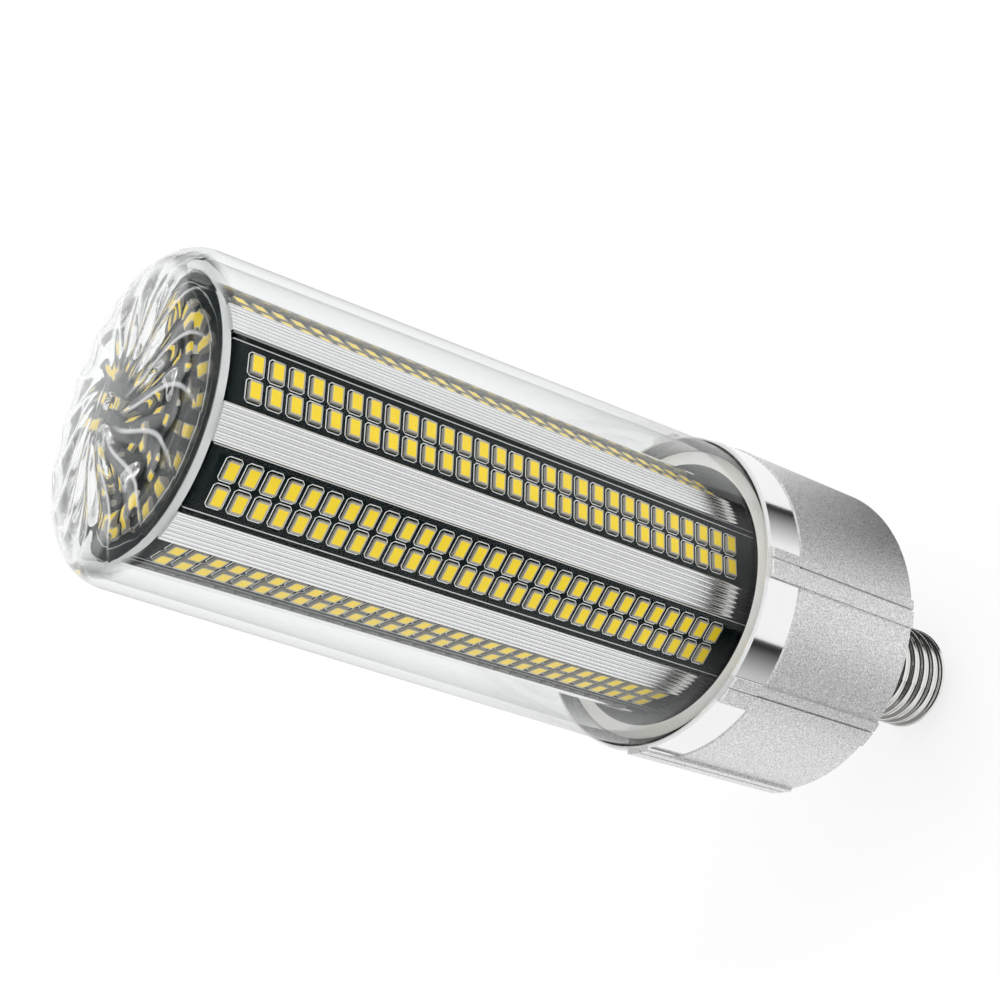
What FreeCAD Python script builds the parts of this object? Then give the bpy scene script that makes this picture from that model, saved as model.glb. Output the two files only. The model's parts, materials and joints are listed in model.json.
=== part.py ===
import FreeCAD
import Part
import math
import os

# Corn LED bulb: clear fluted cover over an eight-sided LED core, ribbed housing, E27 screw cap.
# Millimetres, +Z up from the screw cap to the dome, origin on the axis at the rim of the cap's shell.

V = FreeCAD.Vector
X_AXIS = V(1, 0, 0)
Z_AXIS = V(0, 0, 1)
ORIGIN = V(0, 0, 0)

# Fits between pieces
SLIDE_FIT = 0.1          # radial room of a round piece in its bore
SCREW_FIT = 0.05         # radial room of a screw in its threaded hole

# Screw cap, E27
SHELL_R = 13.1           # crest radius of the thread
SHELL_LENGTH = 25.0
SHELL_WALL = 0.6         # metal left under the thread's root
THREAD_PITCH = 3.63
THREAD_DEPTH = 1.05
THREAD_CREST = 0.2       # narrow flat left along the rolled crest
SKIRT_LENGTH = 5.0       # plain length above the thread
SKIRT_RIM = 0.2          # plain length beyond the thread's crest
INSULATOR_CONE = 3.4     # height of the insulator below the shell
INSULATOR_PLUG = 4.0     # height of the insulator inside the shell
CONTACT_R = 4.8
CONTACT_HEIGHT = 1.6
STEM_R = 1.8
STEM_RISE = 0.6          # the contact's stem stands this far out of the insulator

# Neck behind the housing
NECK_HEIGHT = 20.5
NECK_LIP = 1.7           # shoulder that the shell's rim meets
NECK_DISC = 4.0          # thickness of the disc inside the housing
NECK_RECESS = 0.5        # the disc's rear face lies this far inside the housing's end
NECK_WALL = 2.5
SPIGOT_ROOM = 7.0        # from the end of the spigot inside the shell to the insulator
SPIGOT_WALL = 2.0

# Housing
HOUSING_R = 38.75
HOUSING_WALL = 2.0
HOUSING_LENGTH = 47.5
MOUTH_WALL = 1.15        # wall of the front lip round the cover
MOUTH_DEPTH = 11.0       # from the lip down to the ledge that carries the base plate
LIP_CHAMFER = 0.5
BAND_LENGTH = 10.0       # bright turned band behind the lip
BAND_DEPTH = 0.3
BOSS_R = 3.2
BOSS_COUNT = 4
RIB_HEIGHT = 0.65
RIB_WIDE = 4.0
RIB_NARROW = 2.3
RIB_GROOVE = 0.5
RIB_STEP = 45.0          # degrees between the ribs of one group
RIB_TURN = -96.0         # direction of the middle rib of the first group, degrees

# Base plate and seal
PLATE_THICK = 3.0
PLATE_HOLE_R = 8.0
PLATE_RIM = 5.0          # rim that stands on the plate inside the cover
PLATE_RIM_ROOM = 2.65    # between the core's reeds and the rim
PLATE_RIM_FIT = 0.3      # radial room of the rim in the cover
SEAL_HEIGHT = 1.0

# LED packages and their strip boards
BOARD_THICK = 1.5
LED_LENGTH = 4.1
LED_WIDTH = 2.7
LED_HEIGHT = 0.8
LED_CHAMFER = 0.45
LED_RIM = 0.28           # rim of the package along its phosphor
LED_END_RIM = 0.4        # rim of the package at the ends of its phosphor
LED_FLOOR = 0.4          # package below its phosphor
LED_GAP = 1.72           # between neighbours in a row
LED_ROW_GAP = 1.5        # between the two rows of a strip
STRIP_EDGE = 2.4         # board beyond the rows
STRIP_FOOT = 0.6         # gap between a strip and the base plate
STRIP_HEAD = 1.1         # core left bare above a strip
LED_HEAD = 5.4           # from a strip's upper end to the centre of its first LED
LED_FOOT = 4.0           # least length from the last LED to a strip's lower end

# LED core
SIDES = 8
FIRST_SIDE = -90.0       # direction of the first flat, degrees
FLAT_APOTHEM = 25.0
FLAT_MARGIN = 0.2        # flat left free at each edge of a strip board
CORE_LENGTH = 138.7
CORE_WALL = 2.0
RIB_RISE = 4.0           # reeded ribs above the flats
REED_HEIGHT = 0.35
REEDS = 7
CORE_BOSS_R = 3.4
CORE_BOSS_INSET = 8.5    # from the core's bore to its screw holes
CORE_WEB = 2.0
CORE_SCREWS = 4

# Round board on the core's end
TOP_BOARD_THICK = 1.6
TOP_BOARD_INSET = 0.6    # rim of the core left bare round the board
OUTER_RING_INSET = 6.2   # from the board's edge to its outer ring of LEDs
OUTER_RING_LEDS = 24
INNER_RING_R = 7.0
INNER_RING_LEDS = 6

# Clear cover
COVER_FIT = 0.15         # radial room of the cover in the housing's mouth
COVER_ROOM = 3.35        # between the reeds and the inside of the cover at its head
COVER_WALL = 2.0
DOME_ROOM = 5.8          # from the round board to the middle of the dome
DOME_WALL = 3.0
DOME_CORNER = 8.2
DOME_RISE = 2.0
HUB_R = 5.0              # flat middle of the dome
DIMPLE_R = 2.0
DIMPLE_DEPTH = 1.2
FLUTES = 16
FLUTE_DEPTH = 0.9
FLUTE_REACH = 0.86       # share of the way from the hub to the wall that a flute takes
FLUTE_SWEEP = 32.0       # degrees that a flute swings round the axis
FLUTE_BEND = 0.78        # half waves of the swing along a flute
FLUTE_LEAN = 1.1         # moves a flute's deepest place outwards
FLUTE_SECTIONS = 19
FLUTE_STEPS = 9
SEW_GAP = 0.001

# Screws
SCREW_R = 1.5
SCREW_HEAD_RIM = 1.25    # head beyond the shank
SCREW_HEAD = 2.2
SCREW_SLOT = 1.1
SCREW_GRIP = 7.0         # length of a screw in its boss
SCREW_ROOM = 1.8         # between a screw's head and the neck's cone

# Power supply
DRIVER_ROOM = 1.85       # between the driver board and the housing's bosses
DRIVER_THICK = 1.6
DRIVER_EDGE = 1.5        # board left free outside its parts
POST_HEIGHT = 4.0
POST_R = 3.0
POSTS = 3
WIRE_R = 0.9
LEAD_PLACE = 3.0         # distance of the LED leads from the axis
TRANSFORMER_LENGTH = 20.0
TRANSFORMER_WIDTH = 9.0
TRANSFORMER_HEIGHT = 18.0
TRANSFORMER_LEG = 4.0
TRANSFORMER_TURN = 270.0
WINDING_OVERHANG = 3.0   # winding beyond each side of the transformer's core
CAPACITOR_R = 5.0
CAPACITOR_HEIGHT = 18.0
CAPACITOR_TURNS = (147.0, 182.0)
FILM_LENGTH = 14.0
FILM_WIDTH = 6.0
FILM_HEIGHT = 12.0
FILM_TURN = 0.0
CHOKE_R = 5.0
CHOKE_WIRE = 1.4         # depth of the choke's winding groove
CHOKE_FLANGE = 1.5
CHOKE_HEIGHT = 10.0
CHOKE_X = 7.5
CHOKE_Y = 8.5
RECTIFIER_LENGTH = 12.0
RECTIFIER_WIDTH = 4.0
RECTIFIER_HEIGHT = 10.0
RECTIFIER_TURN = 65.0
TRANSISTOR_WIDTH = 10.0
TRANSISTOR_THICK = 4.5
TRANSISTOR_HEIGHT = 9.0
TRANSISTOR_X = -4.5
TRANSISTOR_Y = 8.0
TAB_THICK = 1.3
TAB_HEIGHT = 16.0
TAB_HOLE_R = 1.8
FUSE_R = 3.5
FUSE_HEIGHT = 8.0
FUSE_TURN = 38.0

# Radii and widths worked out from the sizes above
housing_bore = HOUSING_R - HOUSING_WALL
mouth_bore = HOUSING_R - MOUTH_WALL
plate_r = mouth_bore - SLIDE_FIT
boss_place = housing_bore - BOSS_R
shell_bore = SHELL_R - THREAD_DEPTH - SHELL_WALL
skirt_r = SHELL_R + SKIRT_RIM
spigot_r = shell_bore - SLIDE_FIT
spigot_bore = spigot_r - SPIGOT_WALL
neck_foot_r = skirt_r + NECK_LIP
screw_head_r = SCREW_R + SCREW_HEAD_RIM
neck_top_r = boss_place - screw_head_r - SCREW_ROOM
neck_inner_r = neck_top_r - NECK_WALL
led_pitch = LED_WIDTH + LED_GAP
row_spacing = LED_LENGTH + LED_ROW_GAP
strip_width = row_spacing + LED_LENGTH + 2 * STRIP_EDGE
strip_face = FLAT_APOTHEM + BOARD_THICK
sector = 360.0 / SIDES
core_bore = FLAT_APOTHEM - CORE_WALL
core_boss_place = core_bore - CORE_BOSS_INSET
reed_root_r = FLAT_APOTHEM + RIB_RISE
top_board_r = reed_root_r - TOP_BOARD_INSET
outer_ring_r = top_board_r - OUTER_RING_INSET
cover_head_r = reed_root_r + REED_HEIGHT + COVER_ROOM + COVER_WALL
cover_foot_r = mouth_bore - COVER_FIT
rim_r = cover_foot_r - COVER_WALL - PLATE_RIM_FIT
rim_bore = reed_root_r + REED_HEIGHT + PLATE_RIM_ROOM
crown_r = cover_head_r - DOME_CORNER
driver_r = boss_place - BOSS_R - DRIVER_ROOM
post_place = driver_r - DRIVER_EDGE - screw_head_r - SCREW_FIT

# Heights and lengths worked out from the sizes above
housing_foot = NECK_HEIGHT
housing_lip = housing_foot + HOUSING_LENGTH
ledge = housing_lip - MOUTH_DEPTH
plate_top = ledge + PLATE_THICK
cover_foot = plate_top + SEAL_HEIGHT
core_top = plate_top + CORE_LENGTH
board_top = core_top + TOP_BOARD_THICK
cover_top = board_top + DOME_ROOM + DOME_WALL
strip_length = CORE_LENGTH - STRIP_FOOT - STRIP_HEAD
leds_per_row = int((strip_length - LED_HEAD - LED_FOOT) / led_pitch) + 1
disc_foot = housing_foot + NECK_RECESS
disc_top = disc_foot + NECK_DISC
driver_foot = disc_top + POST_HEIGHT
driver_top = driver_foot + DRIVER_THICK
shell_foot = -SHELL_LENGTH
insulator_foot = shell_foot - INSULATOR_CONE
insulator_top = shell_foot + INSULATOR_PLUG
spigot_foot = insulator_top + SPIGOT_ROOM
contact_foot = insulator_foot - CONTACT_HEIGHT
stem_top = insulator_top + STEM_RISE


def polar(radius, degrees, height=0.0):
    angle = math.radians(degrees)
    return V(radius * math.cos(angle), radius * math.sin(angle), height)


def turned(shape, degrees):
    copy = shape.copy()
    copy.rotate(ORIGIN, Z_AXIS, degrees)
    return copy


def moved(shape, offset):
    copy = shape.copy()
    copy.translate(offset)
    return copy


def rod(radius, foot, top, place=ORIGIN):
    return Part.makeCylinder(radius, top - foot, V(place.x, place.y, foot))


def ring(outer, inner, foot, top):
    return rod(outer, foot, top).cut(rod(inner, foot, top))


def block(size_x, size_y, size_z, centre_x, centre_y, foot):
    return Part.makeBox(size_x, size_y, size_z, V(centre_x - size_x / 2, centre_y - size_y / 2, foot))


def profile_point(radius, height):
    return V(radius, 0, height)


def line(start, end):
    return Part.LineSegment(start, end).toShape()


def arc(start, middle, end):
    return Part.Arc(start, middle, end).toShape()


def revolved_polygon(points):
    corners = [profile_point(radius, height) for radius, height in points]
    return Part.Face(Part.makePolygon(corners + corners[:1])).revolve(ORIGIN, Z_AXIS, 360)


def save(name, shape):
    shape.exportStep("parts/" + name + ".step")


# Pan-head screw with its head above the origin, shank along -Z
def screw(shank_length):
    head = rod(screw_head_r, 0, SCREW_HEAD)
    head = head.makeFillet(SCREW_HEAD * 0.4, [head.Edges[0]])
    slot_depth = SCREW_HEAD / 2
    slot_length = screw_head_r * 1.1
    for size_x, size_y in ((slot_length, SCREW_SLOT), (SCREW_SLOT, slot_length)):
        head = head.cut(block(size_x, size_y, slot_depth, 0, 0, SCREW_HEAD - slot_depth))
    return head.fuse(rod(SCREW_R, -shank_length, 0)).removeSplitter()


def screw_set(shank_length, places, upside_down):
    pieces = []
    for place in places:
        piece = screw(shank_length)
        if upside_down:
            piece.rotate(ORIGIN, X_AXIS, 180)
        pieces.append(moved(piece, place))
    return Part.makeCompound(pieces)


def circle_places(count, radius, height, first):
    return [polar(radius, first + 360.0 * index / count, height) for index in range(count)]


def boss_places(height):
    return circle_places(BOSS_COUNT, boss_place, height, sector)


def core_screw_places(height):
    return circle_places(CORE_SCREWS, core_boss_place, height, sector)


def post_places(height):
    return circle_places(POSTS, post_place, height, 90)


# Screw cap
# Section of the rolled groove: an arc over each crest, meeting the arc of the root
def thread_groove():
    half_width = (THREAD_PITCH - THREAD_CREST) / 2
    bend = (THREAD_DEPTH ** 2 + half_width ** 2) / (4 * THREAD_DEPTH)
    half_turn = math.asin(half_width / (2 * bend)) / 2
    root_r = SHELL_R - THREAD_DEPTH
    mid_r = SHELL_R - THREAD_DEPTH / 2
    crest_bulge = bend * (1 - math.cos(half_turn))
    crest_reach = half_width - bend * math.sin(half_turn)
    low_crest = profile_point(SHELL_R, -half_width)
    low_bulge = profile_point(SHELL_R - crest_bulge, -crest_reach)
    low_bend = profile_point(mid_r, -half_width / 2)
    root = profile_point(root_r, 0)
    high_bend = profile_point(mid_r, half_width / 2)
    high_bulge = profile_point(SHELL_R - crest_bulge, crest_reach)
    high_crest = profile_point(SHELL_R, half_width)
    high_outside = profile_point(SHELL_R + THREAD_DEPTH, half_width)
    low_outside = profile_point(SHELL_R + THREAD_DEPTH, -half_width)
    return Part.Wire([
        arc(low_crest, low_bulge, low_bend),
        arc(low_bend, root, high_bend),
        arc(high_bend, high_bulge, high_crest),
        line(high_crest, high_outside),
        line(high_outside, low_outside),
        line(low_outside, low_crest),
    ])


def make_screw_shell():
    shell = revolved_polygon([
        (shell_bore, shell_foot),
        (SHELL_R, shell_foot),
        (SHELL_R, -SKIRT_LENGTH - SKIRT_RIM),
        (skirt_r, -SKIRT_LENGTH),
        (skirt_r, 0),
        (shell_bore, 0),
    ])
    turns_height = SHELL_LENGTH - SKIRT_LENGTH + THREAD_PITCH / 2
    helix = Part.makeHelix(THREAD_PITCH, turns_height, SHELL_R)
    groove = Part.Wire(helix.Edges).makePipeShell([thread_groove()], True, True)
    return shell.cut(moved(groove, V(0, 0, shell_foot - THREAD_PITCH)))


def make_cap_insulator():
    plug_r = shell_bore - SLIDE_FIT
    rim_r = SHELL_R - THREAD_DEPTH
    return revolved_polygon([
        (STEM_R, insulator_foot),
        (CONTACT_R + STEM_R, insulator_foot),
        (rim_r, shell_foot),
        (plug_r, shell_foot),
        (plug_r, insulator_top),
        (STEM_R, insulator_top),
    ])


def make_contact_button():
    head = rod(CONTACT_R, contact_foot, insulator_foot)
    head = head.makeFillet(CONTACT_HEIGHT * 0.6, [head.Edges[2]])
    stem = rod(STEM_R - SCREW_FIT, insulator_foot, stem_top)
    return head.fuse(stem)


# Neck that closes the housing and carries the screw shell
def make_rear_cap():
    disc_r = housing_bore - SLIDE_FIT
    body = revolved_polygon([
        (spigot_bore, spigot_foot),
        (spigot_r, spigot_foot),
        (spigot_r, 0),
        (neck_foot_r, 0),
        (neck_top_r, disc_foot),
        (disc_r, disc_foot),
        (disc_r, disc_top),
        (neck_inner_r, disc_top),
        (spigot_bore, NECK_WALL),
    ])
    notch_rise = (shell_bore - spigot_bore) * (disc_top - NECK_WALL) / (neck_inner_r - spigot_bore)
    notch_height = NECK_WALL + notch_rise - spigot_foot
    notch_width = 2 * (WIRE_R + SLIDE_FIT)
    body = body.cut(block(shell_bore, notch_width, notch_height, shell_bore / 2, 0, spigot_foot))
    for place in post_places(0):
        post = rod(POST_R, NECK_WALL, driver_foot, place)
        body = body.fuse(post.common(neck_inside()))
        body = body.cut(rod(SCREW_R + SCREW_FIT, driver_foot - SCREW_GRIP, driver_foot, place))
    for place in boss_places(0):
        body = body.cut(rod(SCREW_R + SLIDE_FIT, disc_foot, disc_top, place))
    return body.removeSplitter()


# Room above the neck's inner cone, up to the driver board, sunk a little into the cone's wall
def neck_inside():
    sink = NECK_WALL / 2
    return revolved_polygon([
        (0, NECK_WALL - sink),
        (spigot_bore, NECK_WALL - sink),
        (neck_inner_r, disc_top - sink),
        (driver_r, disc_top - sink),
        (driver_r, driver_foot),
        (0, driver_foot),
    ])


# Housing with its paired ribs, inner screw bosses and bright band
def make_housing():
    band_foot = housing_lip - BAND_LENGTH
    band_r = HOUSING_R - BAND_DEPTH
    tube = revolved_polygon([
        (housing_bore, housing_foot),
        (HOUSING_R, housing_foot),
        (HOUSING_R, band_foot),
        (band_r, band_foot),
        (band_r, housing_lip - LIP_CHAMFER),
        (band_r - LIP_CHAMFER, housing_lip),
        (mouth_bore, housing_lip),
        (mouth_bore, ledge),
        (housing_bore, ledge),
    ])
    for group in (RIB_TURN, RIB_TURN + 180):
        for step in (-1, 0, 1):
            tube = tube.fuse(turned(rib_pair(), group + step * RIB_STEP))
    for place in boss_places(0):
        boss = rod(BOSS_R, disc_top, ledge, place)
        web = boss_web(place)
        tube = tube.fuse(boss.fuse(web).common(rod(housing_bore, disc_top, ledge)))
        tube = tube.cut(rod(SCREW_R + SCREW_FIT, disc_top, disc_top + SCREW_GRIP, place))
    return tube.removeSplitter()


def boss_web(place):
    direction = math.degrees(math.atan2(place.y, place.x))
    web = block(BOSS_R * 2, BOSS_R, ledge - disc_top, boss_place + BOSS_R, 0, disc_top)
    return turned(web, direction)


def rib_pair():
    rib_r = HOUSING_R + RIB_HEIGHT
    room = ring(rib_r, HOUSING_R - 2 * BAND_DEPTH, housing_foot, housing_lip)
    wide = block(rib_r, RIB_WIDE, HOUSING_LENGTH, HOUSING_R, -(RIB_WIDE + RIB_GROOVE) / 2, housing_foot)
    narrow = block(rib_r, RIB_NARROW, HOUSING_LENGTH, HOUSING_R, (RIB_NARROW + RIB_GROOVE) / 2, housing_foot)
    return wide.fuse(narrow).common(room)


# Base plate with the pale rim that stands round the core's foot
def make_base_plate():
    plate = ring(plate_r, PLATE_HOLE_R, ledge, plate_top)
    plate = plate.fuse(ring(rim_r, rim_bore, plate_top, plate_top + PLATE_RIM)).removeSplitter()
    for place in core_screw_places(0):
        plate = plate.cut(rod(SCREW_R + SLIDE_FIT, ledge, plate_top, place))
    return plate


def make_cover_seal():
    return ring(plate_r, cover_foot_r - COVER_WALL, plate_top, cover_foot)


# Outline of one eighth of the core: a flat, then a reeded rib
def core_sector_edges(direction):
    half_flat = strip_width / 2 + FLAT_MARGIN
    flat_turn = math.degrees(math.atan2(half_flat, FLAT_APOTHEM))
    flat_corner = math.hypot(half_flat, FLAT_APOTHEM)
    rib_turn = math.degrees(math.asin(half_flat / reed_root_r))
    reed_step = (sector - 2 * rib_turn) / REEDS
    start = polar(flat_corner, direction - flat_turn)
    end = polar(flat_corner, direction + flat_turn)
    foot = polar(reed_root_r, direction + rib_turn)
    edges = [line(start, end), line(end, foot)]
    for index in range(REEDS):
        turn = direction + rib_turn + index * reed_step
        tip = polar(reed_root_r + REED_HEIGHT, turn + reed_step / 2)
        edges.append(arc(polar(reed_root_r, turn), tip, polar(reed_root_r, turn + reed_step)))
    edges.append(line(polar(reed_root_r, direction + sector - rib_turn),
                      polar(flat_corner, direction + sector - flat_turn)))
    return edges


def make_core():
    edges = []
    for index in range(SIDES):
        edges += core_sector_edges(FIRST_SIDE + index * sector)
    core = Part.Face(Part.Wire(edges)).extrude(V(0, 0, CORE_LENGTH))
    core = core.cut(rod(core_bore, 0, CORE_LENGTH))
    for place in core_screw_places(0):
        boss = rod(CORE_BOSS_R, 0, CORE_LENGTH, place)
        web_length = core_bore - core_boss_place + CORE_WEB
        web = block(web_length, CORE_WEB, CORE_LENGTH, core_boss_place + web_length / 2, 0, 0)
        web = turned(web, math.degrees(math.atan2(place.y, place.x)))
        core = core.fuse(boss.fuse(web))
        core = core.cut(rod(SCREW_R + SCREW_FIT, 0, CORE_LENGTH, place))
    return moved(core.removeSplitter(), V(0, 0, plate_top))


# LED package lying on the plane x = 0, face along +X, long side along Y
def led_body():
    half_y = LED_LENGTH / 2
    half_z = LED_WIDTH / 2
    corners = [
        V(0, -half_y, -half_z),
        V(0, half_y, -half_z),
        V(0, half_y, half_z - LED_CHAMFER),
        V(0, half_y - LED_CHAMFER, half_z),
        V(0, -half_y, half_z),
    ]
    body = Part.Face(Part.makePolygon(corners + corners[:1])).extrude(V(LED_HEIGHT, 0, 0))
    return body.cut(led_fill())


def led_fill():
    length = LED_LENGTH - 2 * LED_END_RIM
    width = LED_WIDTH - 2 * LED_RIM
    return Part.makeBox(LED_HEIGHT - LED_FLOOR, length, width, V(LED_FLOOR, -length / 2, -width / 2))


def strip_copies(piece):
    first_height = core_top - STRIP_HEAD - LED_HEAD
    copies = []
    for row in (-0.5, 0.5):
        for index in range(leds_per_row):
            copies.append(moved(piece, V(strip_face, row * row_spacing, first_height - index * led_pitch)))
    return Part.makeCompound(copies)


def make_strip_board():
    centre = FLAT_APOTHEM + BOARD_THICK / 2
    return block(BOARD_THICK, strip_width, strip_length, centre, 0, plate_top + STRIP_FOOT)


# Round board: an outer ring of LEDs, a middle ring shared with the screws, and an inner ring
def make_top_board():
    board = rod(top_board_r, core_top, board_top)
    for place in core_screw_places(0):
        board = board.cut(rod(SCREW_R + SLIDE_FIT, core_top, board_top, place))
    return board


def top_led_places():
    places = []
    for index in range(OUTER_RING_LEDS):
        places.append((outer_ring_r, 360.0 * index / OUTER_RING_LEDS))
    for index in range(CORE_SCREWS):
        for third in (1, 2):
            places.append((core_boss_place, sector + (index + third / 3) * 360.0 / CORE_SCREWS))
    for index in range(INNER_RING_LEDS):
        places.append((INNER_RING_R, 360.0 * index / INNER_RING_LEDS))
    return places


def top_copies(piece):
    flat = piece.copy()
    flat.rotate(ORIGIN, V(0, 1, 0), -90)
    flat.rotate(ORIGIN, Z_AXIS, 90)
    copies = []
    for radius, direction in top_led_places():
        copy = moved(flat, V(radius, 0, board_top))
        copies.append(turned(copy, direction))
    return Part.makeCompound(copies)


# Outer profile of the dome: radius, height and slope at a distance along it from the centre
def dome_profile(distance):
    if distance <= crown_r:
        height = cover_top - DOME_RISE * (distance / crown_r) ** 2
        slope = math.atan(2 * DOME_RISE * distance / crown_r ** 2)
        return distance, height, slope
    turn = (distance - crown_r) / DOME_CORNER
    radius = crown_r + DOME_CORNER * math.sin(turn)
    height = cover_top - DOME_RISE - DOME_CORNER * (1 - math.cos(turn))
    return radius, height, turn


# Point of a flute: along runs from the hub to the wall, across from one ridge to the next
def flute_point(along, across):
    end = crown_r + DOME_CORNER * math.pi / 2
    radius, height, slope = dome_profile(HUB_R + along * (end - HUB_R))
    share = min(along / FLUTE_REACH, 1)
    sweep = FLUTE_SWEEP * math.sin(FLUTE_BEND * math.pi * share)
    direction = sweep + across * 360.0 / FLUTES
    swell = math.sin(math.pi * share ** FLUTE_LEAN) ** 2
    depth = FLUTE_DEPTH * swell * math.sin(math.pi * across) ** 2
    return polar(radius - depth * math.sin(slope), direction, height - depth * math.cos(slope))


def flute_surface():
    rows = []
    for section in range(FLUTE_SECTIONS):
        along = section / (FLUTE_SECTIONS - 1)
        rows.append([flute_point(along, step / (FLUTE_STEPS - 1)) for step in range(FLUTE_STEPS)])
    surface = Part.BSplineSurface()
    surface.interpolate(rows)
    return surface


# Sixteenth part of a circle at the cover's foot, with the same steps as a flute
def foot_edge():
    first = flute_point(1, 0)
    turn = math.degrees(math.atan2(first.y, first.x))
    steps = [turn + step / (FLUTE_STEPS - 1) * 360.0 / FLUTES for step in range(FLUTE_STEPS)]
    curve = Part.BSplineCurve()
    curve.interpolate([polar(cover_foot_r, step, cover_foot) for step in steps])
    return curve.toShape()


# Smooth inside of the cover, from its foot to the middle of the dome
def cover_inside():
    corner = DOME_CORNER - COVER_WALL
    top = cover_top - DOME_WALL
    shoulder = top - DOME_RISE - corner
    half_turn = math.sqrt(0.5)
    foot_point = profile_point(cover_foot_r - COVER_WALL, cover_foot)
    wall_end = profile_point(crown_r + corner, shoulder)
    corner_middle = profile_point(crown_r + corner * half_turn, shoulder + corner * half_turn)
    crown_edge = profile_point(crown_r, top - DOME_RISE)
    crown_sphere_r = (crown_r ** 2 + DOME_RISE ** 2) / (2 * DOME_RISE)
    crown_drop = crown_sphere_r - math.sqrt(crown_sphere_r ** 2 - crown_r ** 2 / 4)
    crown_middle = profile_point(crown_r / 2, top - crown_drop)
    outline = Part.Wire([
        line(foot_point, wall_end),
        arc(wall_end, corner_middle, crown_edge),
        arc(crown_edge, crown_middle, profile_point(0, top)),
    ])
    return outline.revolve(ORIGIN, Z_AXIS, 360)


def make_cover():
    surface = flute_surface()
    hub_edge = surface.uIso(0).toShape()
    shoulder_edge = surface.uIso(1).toShape()
    wall = Part.makeRuledSurface(shoulder_edge, foot_edge())
    turns = [360.0 * index / FLUTES for index in range(FLUTES)]
    hub = Part.Face(Part.Wire([turned(hub_edge, turn) for turn in turns]))
    foot_rim = Part.Wire([turned(foot_edge(), turn) for turn in turns])
    foot_hole = Part.Wire(Part.makeCircle(cover_foot_r - COVER_WALL, V(0, 0, cover_foot)))
    foot = Part.Face(foot_rim).cut(Part.Face(foot_hole))
    faces = [hub] + foot.Faces
    faces += [turned(surface.toShape(), turn) for turn in turns]
    faces += [turned(wall, turn) for turn in turns]
    faces += cover_inside().Faces
    shell = Part.makeShell(faces)
    shell.sewShape(SEW_GAP)
    cover = Part.makeSolid(shell)
    dimple = rod(DIMPLE_R, cover_top - DIMPLE_DEPTH, cover_top)
    return cover.cut(dimple).Solids[0]


# Power supply on a round board
def make_driver_board():
    board = rod(driver_r, driver_foot, driver_top)
    for place in post_places(0):
        board = board.cut(rod(SCREW_R + SLIDE_FIT, driver_foot, driver_top, place))
    return board


# Turns a part that was made on the X axis, its outer side at the board's free edge
def at_edge(part, half_depth, direction):
    return turned(moved(part, V(driver_r - DRIVER_EDGE - half_depth, 0, 0)), direction)


# Transformer: a ferrite frame with a middle leg, and a winding round that leg
def transformer_window():
    length = (TRANSFORMER_LENGTH - 3 * TRANSFORMER_LEG) / 2
    height = TRANSFORMER_HEIGHT - 2 * TRANSFORMER_LEG
    return length, height


def place_transformer(part):
    return at_edge(part, TRANSFORMER_WIDTH / 2 + WINDING_OVERHANG, TRANSFORMER_TURN)


def make_transformer_core():
    length, height = transformer_window()
    core = block(TRANSFORMER_WIDTH, TRANSFORMER_LENGTH, TRANSFORMER_HEIGHT, 0, 0, driver_top)
    for side in (-1, 1):
        centre = side * (TRANSFORMER_LEG + length) / 2
        core = core.cut(block(TRANSFORMER_WIDTH, length, height, 0, centre, driver_top + TRANSFORMER_LEG))
    return place_transformer(core)


def make_transformer_winding():
    length, height = transformer_window()
    foot = driver_top + TRANSFORMER_LEG
    width = TRANSFORMER_WIDTH + 2 * WINDING_OVERHANG
    winding = block(width, TRANSFORMER_LEG + 2 * length, height, 0, 0, foot)
    winding = winding.cut(block(TRANSFORMER_WIDTH, TRANSFORMER_LEG, height, 0, 0, foot))
    return place_transformer(winding)


def make_bulk_capacitors():
    can = rod(CAPACITOR_R, driver_top, driver_top + CAPACITOR_HEIGHT)
    can = can.makeFillet(CAPACITOR_R * 0.16, [can.Edges[0], can.Edges[2]])
    return Part.makeCompound([at_edge(can, CAPACITOR_R, turn) for turn in CAPACITOR_TURNS])


def make_film_capacitor():
    body = block(FILM_WIDTH, FILM_LENGTH, FILM_HEIGHT, 0, 0, driver_top)
    corner_room = driver_r - math.sqrt(driver_r ** 2 - FILM_LENGTH ** 2 / 4)
    return at_edge(body, FILM_WIDTH / 2 + corner_room, FILM_TURN)


def make_choke():
    waist = rod(CHOKE_R - CHOKE_WIRE, driver_top, driver_top + CHOKE_HEIGHT)
    foot = rod(CHOKE_R, driver_top, driver_top + CHOKE_FLANGE)
    head = moved(foot, V(0, 0, CHOKE_HEIGHT - CHOKE_FLANGE))
    return moved(waist.fuse([foot, head]), V(CHOKE_X, CHOKE_Y, 0))


def make_rectifier():
    body = block(RECTIFIER_WIDTH, RECTIFIER_LENGTH, RECTIFIER_HEIGHT, 0, 0, driver_top)
    body = body.makeChamfer(RECTIFIER_WIDTH * 0.3, [body.Edges[11]])
    corner_room = driver_r - math.sqrt(driver_r ** 2 - RECTIFIER_LENGTH ** 2 / 4)
    return at_edge(body, RECTIFIER_WIDTH / 2 + corner_room, RECTIFIER_TURN)


def make_switch_transistor():
    body = block(TRANSISTOR_WIDTH, TRANSISTOR_THICK, TRANSISTOR_HEIGHT, 0, 0, driver_top)
    tab_y = (TRANSISTOR_THICK + TAB_THICK) / 2
    tab = block(TRANSISTOR_WIDTH, TAB_THICK, TAB_HEIGHT, 0, tab_y, driver_top)
    hole_height = driver_top + (TRANSISTOR_HEIGHT + TAB_HEIGHT) / 2
    hole = Part.makeCylinder(TAB_HOLE_R, 2 * TAB_THICK, V(0, tab_y - TAB_THICK, hole_height), V(0, 1, 0))
    return moved(body.fuse(tab).cut(hole).removeSplitter(), V(TRANSISTOR_X, TRANSISTOR_Y, 0))


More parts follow.
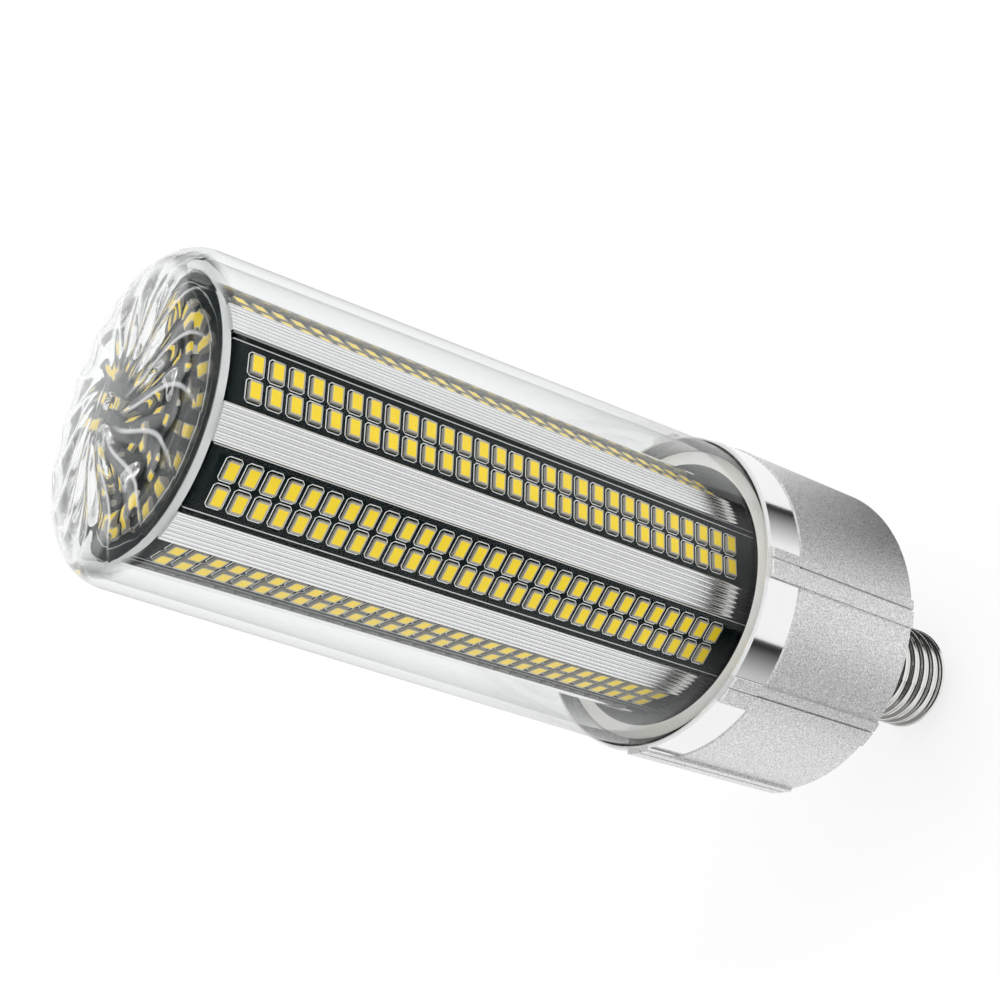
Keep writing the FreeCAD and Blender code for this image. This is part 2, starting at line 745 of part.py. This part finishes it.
def make_fuse():
    body = rod(FUSE_R, driver_top, driver_top + FUSE_HEIGHT)
    body = body.makeFillet(FUSE_R * 0.15, [body.Edges[0]])
    return at_edge(body, FUSE_R, FUSE_TURN)


# Wires: straight pulls between their solder joints
def make_live_wire():
    return rod(WIRE_R, stem_top, driver_foot)


def make_neutral_wire():
    place = V(shell_bore - WIRE_R - SCREW_FIT, 0, 0)
    return rod(WIRE_R, insulator_top, driver_foot, place)


def make_led_leads():
    places = circle_places(2, LEAD_PLACE, 0, 0)
    return Part.makeCompound([rod(WIRE_R, driver_top, core_top, place) for place in places])


def main():
    os.makedirs("parts", exist_ok=True)
    save("cover", make_cover())
    save("cover_seal", make_cover_seal())
    save("core", make_core())
    strip_pieces = {
        "strip_board_": make_strip_board(),
        "strip_leds_": strip_copies(led_body()),
        "strip_phosphor_": strip_copies(led_fill()),
    }
    for index in range(SIDES):
        for name, piece in strip_pieces.items():
            save(name + str(index + 1), turned(piece, FIRST_SIDE + index * sector))
    save("top_board", make_top_board())
    save("top_leds", top_copies(led_body()))
    save("top_phosphor", top_copies(led_fill()))
    save("top_board_screws", screw_set(TOP_BOARD_THICK + SCREW_GRIP, core_screw_places(board_top), False))
    save("core_screws", screw_set(PLATE_THICK + SCREW_GRIP, core_screw_places(ledge), True))
    save("base_plate", make_base_plate())
    save("housing", make_housing())
    save("rear_cap", make_rear_cap())
    save("rear_cap_screws", screw_set(NECK_DISC + SCREW_GRIP, boss_places(disc_foot), True))
    save("screw_shell", make_screw_shell())
    save("cap_insulator", make_cap_insulator())
    save("contact_button", make_contact_button())
    save("driver_board", make_driver_board())
    save("driver_screws", screw_set(DRIVER_THICK + SCREW_GRIP, post_places(driver_top), False))
    save("transformer_core", make_transformer_core())
    save("transformer_winding", make_transformer_winding())
    save("bulk_capacitors", make_bulk_capacitors())
    save("film_capacitor", make_film_capacitor())
    save("choke", make_choke())
    save("rectifier", make_rectifier())
    save("switch_transistor", make_switch_transistor())
    save("fuse", make_fuse())
    save("live_wire", make_live_wire())
    save("neutral_wire", make_neutral_wire())
    save("led_leads", make_led_leads())


main()
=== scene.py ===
import json
import math
import bpy
from mathutils import Matrix, Vector


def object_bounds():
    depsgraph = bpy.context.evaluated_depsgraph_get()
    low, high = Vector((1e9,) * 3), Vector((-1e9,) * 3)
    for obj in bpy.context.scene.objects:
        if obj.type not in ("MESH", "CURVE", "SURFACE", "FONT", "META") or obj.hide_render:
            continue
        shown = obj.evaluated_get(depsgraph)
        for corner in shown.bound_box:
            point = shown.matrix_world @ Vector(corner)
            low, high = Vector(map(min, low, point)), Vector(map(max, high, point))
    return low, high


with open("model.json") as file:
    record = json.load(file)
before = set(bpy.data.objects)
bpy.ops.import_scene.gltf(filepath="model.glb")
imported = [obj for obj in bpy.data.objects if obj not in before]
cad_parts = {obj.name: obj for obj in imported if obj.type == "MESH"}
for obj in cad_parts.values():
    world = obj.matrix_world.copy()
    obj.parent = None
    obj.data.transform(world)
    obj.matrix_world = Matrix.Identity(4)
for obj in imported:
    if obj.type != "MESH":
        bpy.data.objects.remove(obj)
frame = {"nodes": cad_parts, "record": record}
nodes = frame["nodes"]
cad_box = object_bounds()
MM = 0.001

# Camera, from the photograph
CAMERA_AT = Vector((86.0, -302.26, 323.55)) * MM
CAMERA_BACK = Vector((0.20864, -0.80894, 0.54963))
CAMERA_ROLL = 70.125
CAMERA_LENS = 61.21
CAMERA_NEAR = 0.01
CAMERA_FAR = 50.0
SENSOR = 36.0

# Light strips and their print
HALF_STRIP_TURN = math.radians(22.5)
LED_PITCH = 4.42 * MM
LEDS_BELOW_FIRST = 28
FIRST_LED = 192.2 * MM
ROW_PLACE = 2.8 * MM
PRINT_HALF_ACROSS = 2.5 * MM
PRINT_HALF_ALONG = 1.75 * MM
PRINT_CORNER = 0.55 * MM
PRINT_LINE = 0.1 * MM
EDGE_PLACE = 6.75 * MM
EDGE_LINE = 0.11 * MM

# Round board
TOP_EDGE_R = 28.2 * MM
TOP_RING_R = 25.6 * MM
TOP_RING_LINE = 0.12 * MM

# Housing and base plate
BAND_FOOT = 58.0 * MM
BAND_R = 38.9 * MM
STEP_EDGE = 0.03 * MM
LIP_FOOT = 67.45 * MM
LIP_DULLNESS = 0.7
RIM_TOP = 65.0 * MM

# Cover
DOME_FOOT = 202.0 * MM
DOME_BLEND = 2.5 * MM
BEND_FROM_R = 24.0 * MM
BEND_TO_R = 31.0 * MM
BEND_MIDDLE = 1.16
BEND_CORNER = 1.45
EDGE_ON_POWER = 3.0
CROWN_R = 26.5 * MM
DOME_CORNER = 8.2 * MM
HUB_R = 5.0 * MM
FLUTES = 16
FLUTE_RUN = 29.57 * MM
FLUTE_SWEEP = 32.0
FLUTE_BEND = 0.78
# Width and strength of the painted highlight lines on the dome's crests
RIDGE_FULL = 0.1 * MM
RIDGE_GONE = 0.8 * MM
CREST_HIGHLIGHT_STRENGTH = 0.5

# Stage: sizes in metres, and shares and strengths of light
FLOOR_DROP = 0.3 * MM
FLOOR_R = 6.0
FLOOR_STEPS = 64
FLOOR_GLOW = 0.75
CARDS_R = 0.7
CARDS_STEPS = 128
CARD_LEFT_LIGHT = 0.02
BELT_DARK_TO = 0.7
BELT_WHITE_FROM = 0.88
BELT_DARK = 0.03
PANEL_STRENGTH = 1.2
LEFT_PANEL_STRENGTH = 0.3
LAMP_TARGET = Vector((0.0, 0.0, 0.1))

# Heights of fine relief, in metres
FINE_RELIEF = 0.0001
BLAST_RELIEF = 0.0002
RIPPLE_RELIEF = 0.0003


# One node material with short helpers
class Look:
    def __init__(self, name):
        self.material = bpy.data.materials.new(name)
        self.material.use_nodes = True
        self.tree = self.material.node_tree
        self.tree.nodes.clear()
        self.output = self.tree.nodes.new("ShaderNodeOutputMaterial")
        self.place = self.node("TexCoord").outputs["Object"]

    def node(self, kind, **settings):
        made = self.tree.nodes.new("ShaderNode" + kind)
        for key, value in settings.items():
            setattr(made, key, value)
        return made

    def put(self, socket, value):
        if isinstance(value, bpy.types.NodeSocket):
            self.tree.links.new(value, socket)
        else:
            socket.default_value = value

    def axes(self):
        split = self.node("SeparateXYZ")
        self.put(split.inputs[0], self.place)
        return split.outputs

    def math(self, operation, *values):
        made = self.node("Math", operation=operation)
        for socket, value in zip(made.inputs, values):
            self.put(socket, value)
        return made.outputs[0]

    def times(self, first, second):
        return self.math("MULTIPLY", first, second)

    def most(self, first, second):
        return self.math("MAXIMUM", first, second)

    # Distance from a line or level
    def gap(self, value, level):
        return self.math("ABSOLUTE", self.math("SUBTRACT", value, level))

    # Distance from the lamp's axis
    def reach(self, x, y):
        return self.math("SQRT", self.math("ADD", self.times(x, x), self.times(y, y)))

    def ramp(self, value, low, high, to_low=0.0, to_high=1.0, smooth=False):
        kind = "SMOOTHSTEP" if smooth else "LINEAR"
        made = self.node("MapRange", interpolation_type=kind)
        for socket, entry in zip(made.inputs, (value, low, high, to_low, to_high)):
            self.put(socket, entry)
        return made.outputs[0]

    def stretch(self, scale):
        made = self.node("Mapping")
        self.put(made.inputs["Vector"], self.place)
        made.inputs["Scale"].default_value = scale
        return made.outputs[0]

    def noise(self, scale, detail=3.0, rough=0.5, vector=None):
        made = self.node("TexNoise")
        self.put(made.inputs["Vector"], vector if vector is not None else self.place)
        made.inputs["Scale"].default_value = scale
        made.inputs["Detail"].default_value = detail
        made.inputs["Roughness"].default_value = rough
        return made.outputs["Fac"]

    def blend(self, factor, first, second):
        made = self.node("Mix", data_type="RGBA")
        self.put(made.inputs[0], factor)
        self.put(made.inputs[6], first)
        self.put(made.inputs[7], second)
        return made.outputs[2]

    def bump(self, height, strength, distance):
        made = self.node("Bump")
        self.put(made.inputs["Strength"], strength)
        made.inputs["Distance"].default_value = distance
        self.put(made.inputs["Height"], height)
        return made.outputs[0]

    def principled(self, **sockets):
        made = self.node("BsdfPrincipled")
        for key, value in sockets.items():
            self.put(made.inputs[key.replace("_", " ")], value)
        return made.outputs[0]

    def mix(self, factor, first, second):
        made = self.node("MixShader")
        self.put(made.inputs[0], factor)
        self.put(made.inputs[1], first)
        self.put(made.inputs[2], second)
        return made.outputs[0]

    def show(self, shader):
        self.put(self.output.inputs["Surface"], shader)
        return self.material


def tone(red, green, blue):
    return (red, green, blue, 1.0)


def grey(level):
    return tone(level, level, level)


def shade(colour, factor):
    return tone(*(part * factor for part in colour[:3]))


# Plain moulded or painted surface, a little uneven in colour, gloss and relief
def plain(name, colour, rough, metal=0.0):
    look = Look(name)
    patches = look.noise(90.0)
    base = look.blend(patches, shade(colour, 0.9), shade(colour, 1.08))
    roughness = look.ramp(patches, 0.3, 0.7, rough * 0.85, rough * 1.15)
    normal = look.bump(look.noise(900.0, 2.0), 0.15, FINE_RELIEF)
    return look.show(look.principled(
        Base_Color=base, Roughness=roughness, Metallic=metal, Normal=normal))


# Folded coordinates of the eight strips: across a strip, and along the lamp
def strip_axes(look):
    x, y, z = look.axes()
    angle = look.math("ARCTAN2", y, x)
    local = look.math("WRAP", angle, HALF_STRIP_TURN, -HALF_STRIP_TURN)
    return look.times(look.reach(x, y), look.math("SINE", local)), z


# Printed line round one package, with cut corners
def outline(look, across, along):
    far_across = look.math("SUBTRACT", look.math("ABSOLUTE", across), PRINT_HALF_ACROSS)
    far_along = look.math("SUBTRACT", look.math("ABSOLUTE", along), PRINT_HALF_ALONG)
    corner = look.math("ADD", look.math("ADD", far_across, far_along), PRINT_CORNER)
    edge = look.most(look.most(far_across, far_along), corner)
    return look.math("LESS_THAN", look.math("ABSOLUTE", edge), PRINT_LINE)


# Board lacquer: dark colour patches, gloss that follows them, and a fine relief
def lacquer(look, patches, base, smooth, dull):
    roughness = look.ramp(patches, 0.3, 0.7, smooth, dull)
    normal = look.bump(look.noise(1500.0, 2.0), 0.02, FINE_RELIEF)
    return look.show(look.principled(
        Base_Color=base, Roughness=roughness, Specular_IOR_Level=0.05, Normal=normal))


# Black strip boards with a print round each package and a pale line at both edges
def board_look():
    look = Look("board_mask")
    across, along = strip_axes(look)
    row = look.math("SUBTRACT", look.math("ABSOLUTE", across), ROW_PLACE)
    from_first = look.math("SUBTRACT", along, FIRST_LED)
    step = look.math("WRAP", from_first, LED_PITCH / 2, -LED_PITCH / 2)
    low_end = FIRST_LED - (LEDS_BELOW_FIRST + 0.5) * LED_PITCH
    high_end = FIRST_LED + 0.5 * LED_PITCH
    on_rows = look.times(
        look.math("GREATER_THAN", along, low_end), look.math("LESS_THAN", along, high_end))
    print_line = look.times(outline(look, row, step), on_rows)
    from_edge = look.gap(look.math("ABSOLUTE", across), EDGE_PLACE)
    edge_line = look.math("LESS_THAN", from_edge, EDGE_LINE)
    patches = look.noise(160.0, 4.0)
    base = look.blend(patches, tone(0.002, 0.004, 0.005), tone(0.004, 0.010, 0.010))
    base = look.blend(print_line, base, tone(0.80, 0.81, 0.81))
    base = look.blend(edge_line, base, tone(0.66, 0.67, 0.67))
    return lacquer(look, patches, base, 0.22, 0.34)


# Black round board with a pale edge and a printed ring
def top_board_look():
    look = Look("top_board_mask")
    x, y, z = look.axes()
    reach = look.reach(x, y)
    edge = look.math("GREATER_THAN", reach, TOP_EDGE_R)
    ring_line = look.math("LESS_THAN", look.gap(reach, TOP_RING_R), TOP_RING_LINE)
    patches = look.noise(160.0, 4.0)
    base = look.blend(patches, tone(0.004, 0.006, 0.007), tone(0.007, 0.011, 0.012))
    base = look.blend(ring_line, base, tone(0.5, 0.51, 0.5))
    base = look.blend(edge, base, tone(0.55, 0.56, 0.56))
    return lacquer(look, patches, base, 0.25, 0.38)


# Yellow gel of the packages
def phosphor_look():
    look = Look("phosphor_gel")
    patches = look.noise(420.0, 2.0)
    base = look.blend(patches, tone(0.77, 0.55, 0.014), tone(0.83, 0.61, 0.022))
    normal = look.bump(look.noise(900.0, 2.0), 0.05, FINE_RELIEF)
    return look.show(look.principled(
        Base_Color=base, Roughness=0.4, Specular_IOR_Level=0.25, Normal=normal))


# Drawn aluminium with fine lines along the lamp
def core_look():
    look = Look("drawn_aluminium")
    lines = look.noise(1.0, 3.0, 0.6, look.stretch((1500.0, 1500.0, 6.0)))
    base = look.blend(lines, tone(0.80, 0.80, 0.81), grey(0.97))
    roughness = look.ramp(lines, 0.3, 0.7, 0.1, 0.24)
    normal = look.bump(lines, 0.12, FINE_RELIEF)
    return look.show(look.principled(
        Base_Color=base, Roughness=roughness, Metallic=1.0, Normal=normal))


# Sand-blasted housing with a bright turned band behind its satin lip
def housing_look():
    look = Look("blasted_aluminium")
    x, y, z = look.axes()
    band = look.times(
        look.math("GREATER_THAN", z, BAND_FOOT),
        look.math("LESS_THAN", look.reach(x, y), BAND_R))
    blast = look.noise(2600.0, 3.0, 0.7)
    turned = look.noise(1.0, 2.0, 0.5, look.stretch((2.0, 2.0, 2500.0)))
    body = look.blend(look.ramp(blast, 0.36, 0.64), grey(0.48), grey(0.96))
    bright = look.blend(turned, tone(0.84, 0.84, 0.85), tone(0.93, 0.93, 0.94))
    base = look.blend(band, body, bright)
    body_rough = look.ramp(look.noise(900.0, 2.0), 0.3, 0.7, 0.26, 0.38)
    roughness = look.ramp(band, 0.0, 1.0, body_rough, 0.1)
    step = look.math("LESS_THAN", look.gap(z, BAND_FOOT), STEP_EDGE)
    lip = look.times(look.math("GREATER_THAN", z, LIP_FOOT), LIP_DULLNESS)
    metal = look.math("SUBTRACT", 1.0, look.most(step, lip))
    normal = look.bump(blast, look.ramp(band, 0.0, 1.0, 0.8, 0.0), BLAST_RELIEF)
    return look.show(look.principled(
        Base_Color=base, Roughness=roughness, Metallic=metal, Normal=normal))


# Base plate: pale satin top of the rim, dark below it
def plate_look():
    look = Look("base_plate")
    x, y, z = look.axes()
    patches = look.noise(90.0)
    pale = look.blend(patches, tone(0.90, 0.90, 0.89), tone(0.96, 0.96, 0.95))
    dark = look.blend(patches, tone(0.016, 0.016, 0.017), tone(0.026, 0.026, 0.027))
    base = look.blend(look.math("GREATER_THAN", z, RIM_TOP - STEP_EDGE), dark, pale)
    roughness = look.ramp(patches, 0.3, 0.7, 0.38, 0.52)
    normal = look.bump(look.noise(1200.0, 2.0), 0.05, FINE_RELIEF)
    return look.show(look.principled(Base_Color=base, Roughness=roughness, Normal=normal))


# Plated metal with faint lines round it
def nickel_look(name, rough):
    look = Look(name)
    lines = look.noise(1.0, 2.0, 0.5, look.stretch((60.0, 60.0, 900.0)))
    base = look.blend(lines, tone(0.70, 0.69, 0.67), tone(0.86, 0.85, 0.83))
    roughness = look.ramp(lines, 0.3, 0.7, rough * 0.7, rough * 1.3)
    return look.show(look.principled(Base_Color=base, Roughness=roughness, Metallic=1.0))


# Painted highlight lines on the crests between the dome's flutes, followed by radius and
# direction
def crest_highlight_mask(look, x, y, reach):
    over = look.math("ARCSINE", look.ramp(reach, CROWN_R, CROWN_R + DOME_CORNER))
    on_crown = look.math("MINIMUM", reach, CROWN_R)
    distance = look.math("ADD", on_crown, look.times(over, DOME_CORNER))
    share = look.ramp(distance, HUB_R, HUB_R + FLUTE_RUN)
    sweep = look.math("SINE", look.times(share, FLUTE_BEND * math.pi))
    sweep = look.times(sweep, math.radians(FLUTE_SWEEP))
    half_flute = math.pi / FLUTES
    turn = look.math("SUBTRACT", look.math("ARCTAN2", y, x), sweep)
    local = look.math("WRAP", turn, half_flute, -half_flute)
    aside = look.math("ABSOLUTE", look.times(local, reach))
    line = look.ramp(aside, RIDGE_FULL, RIDGE_GONE, CREST_HIGHLIGHT_STRENGTH, 0.0, smooth=True)
    begins = look.ramp(share, 0.08, 0.25)
    fades = look.ramp(share, 0.75, 0.95, 1.0, 0.0)
    return look.times(line, look.times(begins, fades))


# Clear cover: a thin clear wall, and a dome that bends what is behind it, with painted
# highlight lines on its crests
def cover_look():
    look = Look("clear_plastic")
    x, y, z = look.axes()
    reach = look.reach(x, y)
    ripple = look.bump(look.noise(70.0, 1.0), 0.02, RIPPLE_RELIEF)
    weight = look.node("LayerWeight")
    weight.inputs["Blend"].default_value = 0.5
    edge_on = look.math("POWER", weight.outputs["Facing"], EDGE_ON_POWER)
    clear = look.node("BsdfTransparent")
    tint = look.blend(edge_on, tone(0.994, 0.997, 0.997), tone(0.88, 0.885, 0.88))
    look.put(clear.inputs["Color"], tint)
    gloss = look.principled(
        Base_Color=tone(0.93, 0.95, 0.95), Metallic=1.0, Roughness=0.06, Normal=ripple)
    wall = look.mix(look.ramp(edge_on, 0.0, 1.0, 0.006, 0.6), clear.outputs[0], gloss)

    bending = look.ramp(reach, BEND_FROM_R, BEND_TO_R, BEND_MIDDLE, BEND_CORNER)
    bend = look.principled(
        Base_Color=tone(0.985, 0.995, 0.995), Transmission_Weight=1.0, Roughness=0.0,
        IOR=bending, Normal=ripple)
    sheen = look.principled(
        Base_Color=tone(0.95, 0.96, 0.97), Metallic=1.0, Roughness=0.03, Normal=ripple)
    backfacing = look.node("NewGeometry").outputs["Backfacing"]
    outside = look.math("SUBTRACT", 1.0, backfacing)
    mirrored = look.times(look.ramp(edge_on, 0.0, 1.0, 0.01, 0.5), outside)
    glass = look.mix(mirrored, bend, sheen)
    # Whitish painted highlight on the crests, on the outside only
    crest_highlight = look.principled(
        Base_Color=tone(0.86, 0.87, 0.88), Roughness=0.25, Normal=ripple)
    glass = look.mix(look.times(crest_highlight_mask(look, x, y, reach), outside), glass, crest_highlight)

    # Light passes the dome without a hard shadow
    shadow_ray = look.node("LightPath").outputs["Is Shadow Ray"]
    dome = look.mix(shadow_ray, glass, look.node("BsdfTransparent").outputs[0])
    at_dome = look.ramp(z, DOME_FOOT, DOME_FOOT + DOME_BLEND, smooth=True)
    return look.show(look.mix(at_dome, wall, dome))


looks = {
    "clear_cover": cover_look(),
    "seal": plain("silicone", tone(0.62, 0.63, 0.62), 0.45),
    "extruded_aluminium": core_look(),
    "plate_aluminium": plate_look(),
    "blasted_aluminium": housing_look(),
    "black_board": board_look(),
    # LED packages: a white moulding darkened to grey-beige, painted shade
    "led_package": plain("package_moulding_painted_shade", tone(0.36, 0.34, 0.28), 0.4),
    "phosphor": phosphor_look(),
    "screw_steel": plain("plated_steel", tone(0.68, 0.68, 0.69), 0.28, 1.0),
    # Neck near black: painted shade, which the thread's flanks mirror as dark valleys
    "neck_plastic": plain("neck_moulding_painted_shade", tone(0.035, 0.035, 0.037), 0.5),
    "nickel_shell": nickel_look("nickel", 0.1),
    "insulator_black": plain("black_glass", tone(0.02, 0.02, 0.022), 0.12),
    "contact_metal": nickel_look("contact_nickel", 0.22),
    "driver_board": plain("green_mask", tone(0.05, 0.24, 0.09), 0.35),
    "ferrite": plain("ferrite_grey", tone(0.07, 0.07, 0.07), 0.6),
    "winding_tape": plain("tape", tone(0.80, 0.62, 0.10), 0.4),
    "capacitor_sleeve": plain("sleeve", tone(0.03, 0.03, 0.04), 0.3),
    "film_yellow": plain("film_box", tone(0.74, 0.52, 0.09), 0.35),
    "black_case": plain("black_moulding", tone(0.03, 0.03, 0.03), 0.45),
    "fuse_brown": plain("brown_moulding", tone(0.26, 0.12, 0.05), 0.35),
    "wire_live": plain("red_wire", tone(0.55, 0.03, 0.03), 0.35),
    "wire_neutral": plain("black_wire", tone(0.03, 0.03, 0.035), 0.35),
    "wire_lead": plain("white_wire", tone(0.80, 0.80, 0.76), 0.35),
}
slots = {part["node"]: part["material_slot"] for part in frame["record"]["subparts"]}
for name, piece in nodes.items():
    piece.data.materials.clear()
    piece.data.materials.append(looks[slots[name]])
nodes["top_board"].data.materials[0] = top_board_look()


# Flat disc on the stage
def disc(name, outer, height, steps):
    points = [(0.0, 0.0, height)]
    for step in range(steps):
        turn = 2 * math.pi * step / steps
        points.append((outer * math.cos(turn), outer * math.sin(turn), height))
    faces = [(0, 1 + step, 1 + (step + 1) % steps) for step in range(steps)]
    mesh = bpy.data.meshes.new(name)
    mesh.from_pydata(points, [], faces)
    made = bpy.data.objects.new(name, mesh)
    bpy.context.scene.collection.objects.link(made)
    return made


# White floor, seen through from below, with a soft shadow in its diffuse share
def floor_look():
    look = Look("floor")
    path = look.node("LightPath").outputs
    seen = look.most(path["Is Camera Ray"], path["Is Glossy Ray"])
    seen = look.most(seen, path["Is Transmission Ray"])
    paint = look.node("BsdfDiffuse")
    paint.inputs["Color"].default_value = grey(0.9)
    glow = look.node("Emission")
    glow.inputs["Strength"].default_value = 1.0
    top_side = look.mix(look.times(seen, FLOOR_GLOW), paint.outputs[0], glow.outputs[0])
    side = look.node("NewGeometry").outputs["Backfacing"]
    return look.show(look.mix(side, top_side, look.node("BsdfTransparent").outputs[0]))


floor_height = cad_box[0][2] - FLOOR_DROP
floor = disc("floor", FLOOR_R, floor_height, FLOOR_STEPS)
floor.data.materials.append(floor_look())


# Dark cards on the table, met only by reflections. Directions are in degrees
def card_look():
    look = Look("cards")
    x, y, z = look.axes()
    turn = look.math("DEGREES", look.math("ARCTAN2", y, x))
    reach = look.reach(x, y)

    # Full between two directions or radii, easing in and out
    def between(value, rise_from, rise_to, fall_from, fall_to):
        rises = look.ramp(value, rise_from, rise_to)
        return look.times(rises, look.ramp(value, fall_from, fall_to, 1.0, 0.0))

    # Bars with a soft edge and a sharp one, which the bright band mirrors
    first = look.times(look.ramp(turn, -23.0, 4.0), look.math("LESS_THAN", turn, 8.0))
    second = look.times(
        look.ramp(turn, -118.0, -85.0), look.math("LESS_THAN", turn, -81.0))
    back = look.times(between(turn, 70.0, 95.0, 110.0, 140.0), 0.6)
    bars = look.most(look.most(first, second), back)
    dark = look.times(bars, look.ramp(reach, 52.0 * MM, 75.0 * MM))

    # Patches close to the cap, which its thread mirrors
    close = look.ramp(reach, 36.0 * MM, 46.0 * MM, 1.0, 0.0)
    dark = look.most(dark, look.times(close, between(turn, -18.0, -8.0, 80.0, 100.0)))
    behind = look.ramp(x, -8.0 * MM, -26.0 * MM)
    dark = look.most(dark, look.times(look.times(close, behind), 0.75))

    # Patch at the right, which the upper housing mirrors
    middle = between(reach, 46.0 * MM, 60.0 * MM, 106.0 * MM, 114.0 * MM)
    upper = between(turn, -32.0, -5.0, 45.0, 75.0)
    dark = look.most(dark, look.times(look.times(middle, upper), 0.9))
    glow = look.node("Emission")
    look.put(glow.inputs["Strength"], look.ramp(dark, 0.0, 1.0, 1.0, CARD_LEFT_LIGHT))
    return look.show(glow.outputs[0])


cards = disc("cards", CARDS_R, floor_height + FLOOR_DROP / 2, CARDS_STEPS)
cards.data.materials.append(card_look())
cards.visible_camera = False
cards.visible_diffuse = False
cards.visible_transmission = False
cards.visible_shadow = False

# World: white to the eye, with a darker belt and panels that only reflections meet
world = bpy.data.worlds.new("studio")
bpy.context.scene.world = world
world.use_nodes = True
tree = world.node_tree
tree.nodes.clear()


def sky_ramp(value, low, high, to_high=1.0):
    made = tree.nodes.new("ShaderNodeMapRange")
    made.interpolation_type = "SMOOTHSTEP"
    tree.links.new(value, made.inputs[0])
    for socket, entry in zip(made.inputs[1:5], (low, high, 0.0, to_high)):
        socket.default_value = entry
    return made.outputs[0]


def sky_math(operation, first, second):
    made = tree.nodes.new("ShaderNodeMath")
    made.operation = operation
    tree.links.new(first, made.inputs[0])
    tree.links.new(second, made.inputs[1])
    return made.outputs[0]


split = tree.nodes.new("ShaderNodeSeparateXYZ")
tree.links.new(tree.nodes.new("ShaderNodeTexCoord").outputs["Generated"], split.inputs[0])
sky_x, sky_y, sky_z = split.outputs

# Belt, dark up to a height and white above it
belt = tree.nodes.new("ShaderNodeValToRGB")
belt.color_ramp.interpolation = "EASE"
stops = belt.color_ramp.elements
stops[0].position = BELT_DARK_TO
stops[0].color = grey(BELT_DARK)
stops[1].position = BELT_WHITE_FROM
stops[1].color = grey(1.0)
belt_sky = tree.nodes.new("ShaderNodeBackground")
tree.links.new(sky_z, belt.inputs[0])
tree.links.new(belt.outputs[0], belt_sky.inputs["Color"])

# Soft panel behind the lamp that the dome's far half mirrors, and a dimmer one at its left
panel = sky_math("MULTIPLY", sky_ramp(sky_y, 0.5, 0.75), sky_ramp(sky_x, 0.12, -0.05))
panel = sky_math("MULTIPLY", panel, sky_ramp(sky_z, 0.64, 0.5, PANEL_STRENGTH))
low_panel = sky_math("MULTIPLY", sky_ramp(sky_y, 0.8, 0.92), sky_ramp(sky_z, 0.14, 0.05))
panel = sky_math("MAXIMUM", panel, low_panel)
left_panel = sky_ramp(sky_x, -0.4, -0.7, LEFT_PANEL_STRENGTH)
panel_sky = tree.nodes.new("ShaderNodeBackground")
tree.links.new(sky_math("MAXIMUM", panel, left_panel), panel_sky.inputs["Strength"])
mirrored_sky = tree.nodes.new("ShaderNodeAddShader")
tree.links.new(belt_sky.outputs[0], mirrored_sky.inputs[0])
tree.links.new(panel_sky.outputs[0], mirrored_sky.inputs[1])

white_sky = tree.nodes.new("ShaderNodeBackground")
white_sky.inputs["Color"].default_value = grey(1.0)
white_sky.inputs["Strength"].default_value = 1.0
either = tree.nodes.new("ShaderNodeMixShader")
glossy_ray = tree.nodes.new("ShaderNodeLightPath").outputs["Is Glossy Ray"]
tree.links.new(glossy_ray, either.inputs[0])
tree.links.new(white_sky.outputs[0], either.inputs[1])
tree.links.new(mirrored_sky.outputs[0], either.inputs[2])
sky = tree.nodes.new("ShaderNodeOutputWorld")
tree.links.new(either.outputs[0], sky.inputs[0])


# Studio lights, not mirrored in the part
def area_lamp(name, place, size, watts):
    data = bpy.data.lights.new(name, "AREA")
    data.shape = "DISK"
    data.size = size
    data.energy = watts
    lamp = bpy.data.objects.new(name, data)
    bpy.context.scene.collection.objects.link(lamp)
    lamp.location = place
    lamp.rotation_euler = (LAMP_TARGET - place).to_track_quat("-Z", "Y").to_euler()
    lamp.visible_camera = False
    lamp.visible_glossy = False


area_lamp("key", Vector((1.0, -0.15, 1.1)), 0.9, 6.0)
area_lamp("fill", Vector((-0.5, -1.3, 0.8)), 0.9, 3.0)
area_lamp("rim", Vector((0.33, 0.92, 0.62)), 0.5, 2.0)

# Camera
camera_data = bpy.data.cameras.new("camera")
camera_data.lens = CAMERA_LENS
camera_data.sensor_width = SENSOR
camera_data.clip_start = CAMERA_NEAR
camera_data.clip_end = CAMERA_FAR
camera = bpy.data.objects.new("camera", camera_data)
bpy.context.scene.collection.objects.link(camera)
aim = (-CAMERA_BACK).to_track_quat("-Z", "Y").to_matrix().to_4x4()
roll = Matrix.Rotation(math.radians(-CAMERA_ROLL), 4, "Z")
camera.matrix_world = Matrix.Translation(CAMERA_AT) @ aim @ roll
bpy.context.scene.camera = camera

bpy.context.scene.view_settings.view_transform = "Standard"
